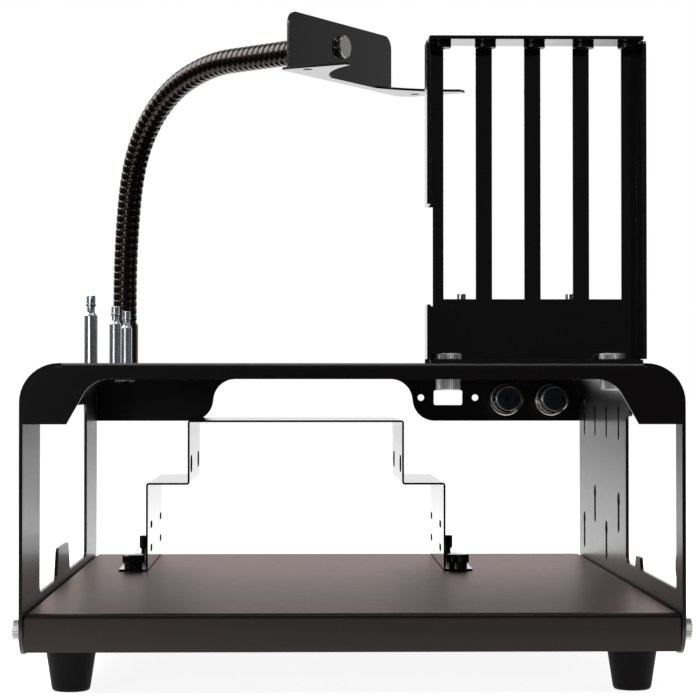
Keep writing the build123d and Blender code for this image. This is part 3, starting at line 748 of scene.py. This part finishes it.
def plain(profile: Profile) -> list[Ring]:
    """Rings of a turned outline without knurls.

    Args:
        profile: Radius and height of each ring in millimetres.

    Returns:
        The rings, in the same order.
    """
    return [Ring(r, z) for r, z in profile]


@dataclass(frozen=True)
class Thumb:
    """A knurled screw that stands on its shank.

    Attributes:
        r: Head radius in millimetres.
        height: Head height in millimetres.
        shank: Shank radius in millimetres.
        length: Shank length in millimetres.
    """

    r: float
    height: float
    shank: float
    length: float

    def rings(self) -> list[Ring]:
        """Outline of the screw.

        Returns:
            Its rings, from the shank's end to the head's top.
        """
        stem = plain(((0, -self.length), (self.shank, -self.length), (self.shank, 0)))
        return [*stem, *knurled(self.r, 0, self.height), Ring(0, self.height)]


@dataclass(frozen=True)
class Knob:
    """A knurled knob on a narrow neck.

    Attributes:
        r: Knob radius in millimetres.
        neck: Neck radius in millimetres.
        low: Height of the neck in millimetres.
        high: Height of the knob's top in millimetres.
        shank: Shank radius in millimetres.
        length: Shank length in millimetres.
    """

    r: float
    neck: float
    low: float
    high: float
    shank: float = 1.5
    length: float = 5.0

    def rings(self) -> list[Ring]:
        """Outline of the knob.

        Returns:
            Its rings, from the shank's end to the knob's top.
        """
        stem = plain(((0, -self.length), (self.shank, -self.length), (self.shank, 0)))
        neck = plain(((self.neck, 0), (self.neck, self.low)))
        return [*stem, *neck, *knurled(self.r, self.low, self.high), Ring(0, self.high)]


@dataclass
class FoldedParts:
    """The folded sheets and the small pieces that follow their CAD nodes.

    Attributes:
        cad: CAD nodes by name.
    """

    cad: dict[str, bpy.types.Object]

    def build(self) -> None:
        """Builds and dresses each piece."""
        pieces: list[SoftPiece] = [TopFrame("top_frame")]
        pieces.append(SoftPiece("base_tray", TRAY))
        pieces.append(SoftPiece("card_bracket", GLOSS))
        pieces.append(DriveBracket("drive_bracket", GLOSS))
        pieces.append(SoftPiece("fan_plate", GLOSS, body="fan_swivel"))
        pieces.append(SoftPiece("card_clinch_nuts", edge=0.4))
        pieces.append(SoftPiece("standoffs", ZINC, edge=0.12))
        pieces.append(SoftPiece("arm_tip", ARM, edge=0.3))
        pieces.append(SoftPiece("fan_thumbscrew", STEEL, edge=0.12))
        for node in ("foot_screws", "foot_nuts", "side_nuts", "standoff_nuts", "arm_nut", "drive_nuts"):
            pieces.append(SoftPiece(node, ZINC, edge=0.15))
        for name in ("power", "reset"):
            pieces.append(SoftPiece(f"{name}_terminal", BLUE, edge=0.2))
        for piece in pieces:
            piece.build(self.cad)
            piece.dress()


@dataclass
class Fasteners:
    """Feet, thumbscrews and knobs.

    Attributes:
        cad: CAD nodes by name.
        feet: Number of feet.
        foot: Outline of a foot, with the well for its screw.
        side: Thumbscrew at the side of the tray.
        card: Thumbscrew of the card bracket.
        nut_r: Radius of the thumb nut under the table in millimetres.
        nut_bore: Radius of its bore in millimetres.
        nut_h: Its height in millimetres.
        front: Knob at the front of the drive bracket.
        rear: Knob at the rear of the drive bracket.
        knob_steps: Steps round a knob.
    """

    cad: dict[str, bpy.types.Object]
    feet: int = 4
    foot: Profile = (
        (2.1, 4),
        (4.2, 4),
        (4.2, 0),
        (6.7, 0),
        (7.3, 0.25),
        (7.75, 0.8),
        (8.0, 1.7),
        (10.05, 15.2),
        (10.2, 15.8),
        (10.25, 16.4),
        (10.25, 17.4),
        (2.1, 17.4),
        (2.1, 4),
    )
    side: Thumb = Thumb(4.6, 3.4, 1.5, 8.0)
    card: Thumb = Thumb(5.5, 2.7, 2.0, 12.0)
    nut_r: float = 5.05
    nut_bore: float = 2.0
    nut_h: float = 9.5
    front: Knob = Knob(5.5, 4.6, 2.5, 6.8)
    rear: Knob = Knob(3.8, 2.9, 3.1, 10.0)
    knob_steps: int = 60

    def stand(self, node: str, z: float) -> list[Matrix]:
        """Upright placements at the solids of a node.

        Args:
            node: CAD node.
            z: Height of the seat in millimetres.

        Returns:
            One placement for each solid.
        """
        return [at(middle.x, middle.y, z) for middle in islands(self.cad[node])]

    def build(self) -> None:
        """Builds the fasteners in order."""
        self.build_feet()
        self.build_side_screws()
        self.build_card_screws()
        self.build_drive_knobs()

    def build_feet(self) -> None:
        """Builds the rubber feet."""
        for i in range(self.feet):
            node = f"foot_{i + 1}"
            TurnedSet(node, RUBBER, plain(self.foot), self.stand(node, 0)).build()

    def build_side_screws(self) -> None:
        """Builds the thumbscrews that hold the table to the tray."""
        places = []
        for middle in islands(self.cad["side_thumbscrews"]):
            way = math.copysign(1.0, middle.x)
            places.append(at(way * HALF, middle.y, SIDE_SCREW_Z, tilt("Y", 90 * way)))
        TurnedSet("side_thumbscrews", KNURLED, self.side.rings(), places).build()

    def build_card_screws(self) -> None:
        """Builds the thumbscrews of the card bracket and their nuts."""
        places = self.stand("card_thumbscrews", TABLE_TOP + SHEET)
        TurnedSet("card_thumbscrews", KNURLED, self.card.rings(), places).build()
        low = Ring(self.nut_bore, -self.nut_h)
        nut = [low, *knurled(self.nut_r, -self.nut_h, 0), Ring(self.nut_bore, 0), low]
        places = self.stand("card_thumb_nuts", TABLE_TOP - SHEET)
        TurnedSet("card_thumb_nuts", KNURLED, nut, places).build()

    def build_drive_knobs(self) -> None:
        """Builds the knobs that hold the drive bracket."""
        seat = TRAY_TOP + DRIVE_SHEET
        for node, kind in (("drive_front_screws", self.front), ("drive_rear_screws", self.rear)):
            TurnedSet(node, DARK, kind.rings(), self.stand(node, seat), steps=self.knob_steps).build()


@dataclass
class Ferrule:
    """The socket that the flexible arm stands in.

    Attributes:
        r: Outer radius in millimetres.
        bore_r: Radius of the socket in millimetres.
        edge: Chamfer of both ends in millimetres.
        lead: Length of the upper taper in millimetres.
        screw_r: Radius of the screw below in millimetres.
        screw: Length of the screw below in millimetres.
    """

    r: float = 6.9
    bore_r: float = 6.3
    edge: float = 0.3
    lead: float = 0.9
    screw_r: float = 3.0
    screw: float = 8.0

    def build(self) -> None:
        """Turns the ferrule where the arm stands."""
        top = FERRULE_H
        seat = FERRULE_H - FERRULE_SEAT
        rings = plain(((0, -self.screw), (self.screw_r, -self.screw), (self.screw_r, 0)))
        rings += plain(((self.r - self.edge, 0), (self.r, self.edge), (self.r, top - self.lead)))
        rings += plain(((self.r - self.edge, top), (self.bore_r, top), (self.bore_r, seat), (0, seat)))
        TurnedSet("arm_ferrule", ARM, rings, [at(ARM_X, ARM_Y, TABLE_TOP)]).build()


@dataclass
class Switches:
    """The two push switches in the far flange.

    Attributes:
        cad: CAD nodes by name.
        barrel_end: Outline of the barrel's inner end.
        thread: Outline of one turn of thread rings, from the first turn's start.
        turns: Number of thread rings, one millimetre apart.
        head: Outline of the barrel's outer end with the button's well.
        nut: Outline of the ring nut.
        button: Outline of the button.
    """

    cad: dict[str, bpy.types.Object]
    barrel_end: Profile = ((0, -20), (6.6, -20), (7.3, -19.8), (7.6, -19.5))
    thread: Profile = ((7.6, -19.5), (7.9, -19.2), (7.9, -18.9), (7.6, -18.6))
    turns: int = 14
    head: Profile = (
        (7.9, -5.0),
        (7.9, 0),
        (8.7, 0),
        (9, 0.3),
        (9, 1.4),
        (8.4, 2),
        (6.0, 2),
        (6.0, -5),
        (0, -5),
    )
    nut: Profile = (
        (7.9, -4.1),
        (8.2, -4.1),
        (8.9, -3.7),
        (9.4, -2.9),
        (9.4, -1.9),
        (9.0, -1.5),
        (7.9, -1.5),
        (7.9, -4.1),
    )
    button: Profile = ((0, -2.8), (5.7, -2.8), (5.7, 3.1), (5.3, 3.5), (4.2, 3.35), (0, 3.2))

    def build(self) -> None:
        """Builds the barrel, ring nut and button of each switch."""
        barrel = plain(self.barrel_end)
        for i in range(self.turns):
            barrel += [Ring(r, z + i) for r, z in self.thread]
        barrel += plain(self.head)
        for name in ("power", "reset"):
            middle = islands(self.cad[f"{name}_barrel"])[0]
            place = [at(middle.x, FAR, SWITCH_Z, tilt("X", -90))]
            TurnedSet(f"{name}_barrel", STEEL, barrel, place).build()
            TurnedSet(f"{name}_nut", STEEL, plain(self.nut), place).build()
            TurnedSet(f"{name}_button", STEEL, plain(self.button), place, body=f"{name}_button").build()


def combine(
    tree: bpy.types.NodeTree,
    operation: str,
    one: bpy.types.NodeSocket,
    two: bpy.types.NodeSocket,
) -> bpy.types.NodeSocket:
    """Adds a node that works out one value from two.

    Args:
        tree: Node tree that receives the node.
        operation: Operation of the node.
        one: First value.
        two: Second value.

    Returns:
        The socket that gives the outcome.
    """
    node = tree.nodes.new("ShaderNodeMath")
    node.operation = operation
    tree.links.new(one, node.inputs[0])
    tree.links.new(two, node.inputs[1])
    return node.outputs[0]


@dataclass(frozen=True)
class Lamp:
    """A soft lamp that points at the bench.

    Attributes:
        name: Name of the lamp.
        place: Its middle in metres.
        wide: Its width in metres.
        tall: Its height in metres.
        power: Its power in watts.
        target: Point that it faces, in metres.
    """

    name: str
    place: tuple[float, float, float]
    wide: float
    tall: float
    power: float
    target: tuple[float, float, float] = (0.0, 0.0, 0.12)

    def build(self) -> None:
        """Makes the lamp and turns it to the bench."""
        light = bpy.data.lights.new(self.name, "AREA")
        light.shape = "RECTANGLE"
        light.size = self.wide
        light.size_y = self.tall
        light.energy = self.power
        obj = bpy.data.objects.new(self.name, light)
        obj.location = self.place
        aim = Vector(self.target) - Vector(self.place)
        obj.rotation_euler = aim.to_track_quat("-Z", "Y").to_euler()
        bpy.context.scene.collection.objects.link(obj)


LAMPS = (
    Lamp("overhead", (0.0, -0.1, 1.5), 1.0, 0.6, 5.0),
    Lamp("high_left", (-1.15, 0.35, 1.05), 1.0, 0.9, 14.0),
    Lamp("front_left", (-0.62, -1.0, 0.18), 0.3, 0.3, 1.2),
    Lamp("left_strip", (-1.1, -0.55, 0.85), 0.10, 0.8, 1.6),
    Lamp("right_strip", (1.1, -0.55, 0.85), 0.10, 0.8, 1.6),
)


@dataclass
class Studio:
    """Floor, light and camera of the photograph.

    Attributes:
        eye: Place of the camera in millimetres.
        focal_px: Focal length in pixels.
        vanishing: Pixel that lines along Y run to.
        picture: Width and height of the picture in pixels.
        sensor: Width of the camera's sensor in millimetres.
        clip: Nearest distance that the camera sees, in metres.
        floor_size: Half the floor's width in metres.
        floor_glow: Strength at which the floor glows, seen by the camera everywhere and in reflections only
            within the painted pool of light.
        pool_grey: Grey of the floor within the painted pool of light.
        unlit_grey: Grey of the floor outside the painted pool of light, painted shade in reflections and
            bounced light.
        pool_from: Y in metres where the painted pool of light begins to show in reflections.
        pool_to: Y in metres from where it shows in full.
        pool_half: Distance from the middle in metres up to which it shows in full.
        pool_fade: Distance from the middle in metres where it ends.
        camera_side: Strength of the surroundings on the camera's side.
        back_from: Share of the way back where the surroundings begin to brighten.
        back_to: Share of the way back where they are white.
    """

    eye: tuple[float, float, float] = (-22.0, NEAR - 943.0, 124.3)
    focal_px: float = 2330.0
    vanishing: tuple[float, float] = (299.0, 388.0)
    picture: tuple[float, float] = (696.0, 700.0)
    sensor: float = 36.0
    clip: float = 0.05
    floor_size: float = 6.0
    floor_glow: float = 0.88
    pool_grey: float = 0.85
    unlit_grey: float = 0.01
    pool_from: float = -0.42
    pool_to: float = -0.22
    pool_half: float = 0.26
    pool_fade: float = 0.44
    camera_side: float = 0.08
    back_from: float = 0.4
    back_to: float = 0.9

    def build(self) -> None:
        """Makes the stage."""
        self.build_floor()
        self.build_world()
        self.build_lights()
        self.build_camera()

    def build_floor(self) -> None:
        """Makes the white floor, which keeps the bench's shadow, with a painted pool of light near the bench
        in reflections.
        """
        mesh = bpy.data.meshes.new("floor")
        bm = bmesh.new()
        bmesh.ops.create_grid(bm, x_segments=1, y_segments=1, size=self.floor_size)
        bm.to_mesh(mesh)
        bm.free()
        floor = bpy.data.objects.new("floor", mesh)
        bpy.context.scene.collection.objects.link(floor)
        mat = bpy.data.materials.new("white_floor")
        mat.use_nodes = True
        nodes = mat.node_tree.nodes
        links = mat.node_tree.links
        tree = mat.node_tree
        shader = nodes["Principled BSDF"]
        shader.inputs["Roughness"].default_value = 1.0
        shader.inputs["Specular IOR Level"].default_value = 0.0
        shader.inputs["Emission Color"].default_value = (1.0, 1.0, 1.0, 1.0)
        # painted pool of light: in reflections and bounced light the floor is white only near the bench and
        # dark in front of it and at both sides, painted to stand in for the floor's light falling off
        coords = nodes.new("ShaderNodeTexCoord")
        split = nodes.new("ShaderNodeSeparateXYZ")
        pool_depth = nodes.new("ShaderNodeMapRange")
        pool_depth.inputs["From Min"].default_value = self.pool_from
        pool_depth.inputs["From Max"].default_value = self.pool_to
        pool_width = nodes.new("ShaderNodeMapRange")
        pool_width.inputs["From Min"].default_value = self.pool_fade**2
        pool_width.inputs["From Max"].default_value = self.pool_half**2
        path = nodes.new("ShaderNodeLightPath")
        links.new(coords.outputs["Object"], split.inputs["Vector"])
        links.new(split.outputs["Y"], pool_depth.inputs["Value"])
        links.new(combine(tree, "MULTIPLY", split.outputs["X"], split.outputs["X"]), pool_width.inputs["Value"])
        painted_pool = combine(tree, "MULTIPLY", pool_depth.outputs["Result"], pool_width.outputs["Result"])
        camera = path.outputs["Is Camera Ray"]
        white = combine(tree, "MAXIMUM", camera, painted_pool)
        colour = nodes.new("ShaderNodeMix")
        colour.data_type = "RGBA"
        colour.inputs["A"].default_value = (self.unlit_grey, self.unlit_grey, self.unlit_grey, 1.0)
        colour.inputs["B"].default_value = (self.pool_grey, self.pool_grey, self.pool_grey, 1.0)
        links.new(white, colour.inputs["Factor"])
        links.new(colour.outputs["Result"], shader.inputs["Base Color"])
        # the floor's glow in reflections is painted light, limited to the painted pool of light
        direct = combine(tree, "MAXIMUM", camera, path.outputs["Is Glossy Ray"])
        direct = combine(tree, "MAXIMUM", direct, path.outputs["Is Transmission Ray"])
        glow = nodes.new("ShaderNodeValue")
        glow.outputs[0].default_value = self.floor_glow
        seen = combine(tree, "MULTIPLY", direct, white)
        links.new(combine(tree, "MULTIPLY", seen, glow.outputs[0]), shader.inputs["Emission Strength"])
        mesh.materials.append(mat)

    def build_world(self) -> None:
        """Makes the white surroundings, which light the bench less from the camera's side."""
        world = bpy.data.worlds.new("studio")
        world.use_nodes = True
        nodes = world.node_tree.nodes
        links = world.node_tree.links
        background = nodes["Background"]
        coords = nodes.new("ShaderNodeTexCoord")
        split = nodes.new("ShaderNodeSeparateXYZ")
        ramp = nodes.new("ShaderNodeMapRange")
        ramp.inputs["From Min"].default_value = self.back_from
        ramp.inputs["From Max"].default_value = self.back_to
        ramp.inputs["To Min"].default_value = self.camera_side
        ramp.inputs["To Max"].default_value = 1.0
        path = nodes.new("ShaderNodeLightPath")
        pick = nodes.new("ShaderNodeMix")
        links.new(coords.outputs["Generated"], split.inputs["Vector"])
        links.new(split.outputs["Y"], ramp.inputs["Value"])
        links.new(path.outputs["Is Camera Ray"], pick.inputs["Factor"])
        links.new(ramp.outputs["Result"], pick.inputs["A"])
        pick.inputs["B"].default_value = 1.0
        links.new(pick.outputs["Result"], background.inputs["Strength"])
        background.inputs["Color"].default_value = (1.0, 1.0, 1.0, 1.0)
        bpy.context.scene.world = world

    def build_lights(self) -> None:
        """Makes the soft lamps."""
        for lamp in LAMPS:
            lamp.build()

    def build_camera(self) -> None:
        """Makes the camera at the photograph's place."""
        cam = bpy.data.cameras.new("camera")
        wide, tall = self.picture
        cam.sensor_width = self.sensor
        cam.lens = self.focal_px * self.sensor / max(wide, tall)
        cam.clip_start = self.clip
        yaw = math.atan((wide / 2 - self.vanishing[0]) / self.focal_px)
        pitch = math.atan((self.vanishing[1] - tall / 2) / self.focal_px)
        obj = bpy.data.objects.new("camera", cam)
        obj.location = Vector(self.eye) * MM
        obj.rotation_euler = (math.pi / 2 + pitch, 0, -yaw)
        bpy.context.scene.collection.objects.link(obj)
        bpy.context.scene.camera = obj


def main() -> None:
    """Builds the bench and its stage."""
    logging.basicConfig(level=logging.INFO)
    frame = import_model()
    scene = bpy.context.scene
    scene.view_settings.view_transform = "Standard"
    cad = frame["nodes"]
    FoldedParts(cad).build()
    Fasteners(cad).build()
    FlexArm().build()
    Ferrule().build()
    Switches(cad).build()
    Studio().build()


if __name__ == "__main__":
    main()
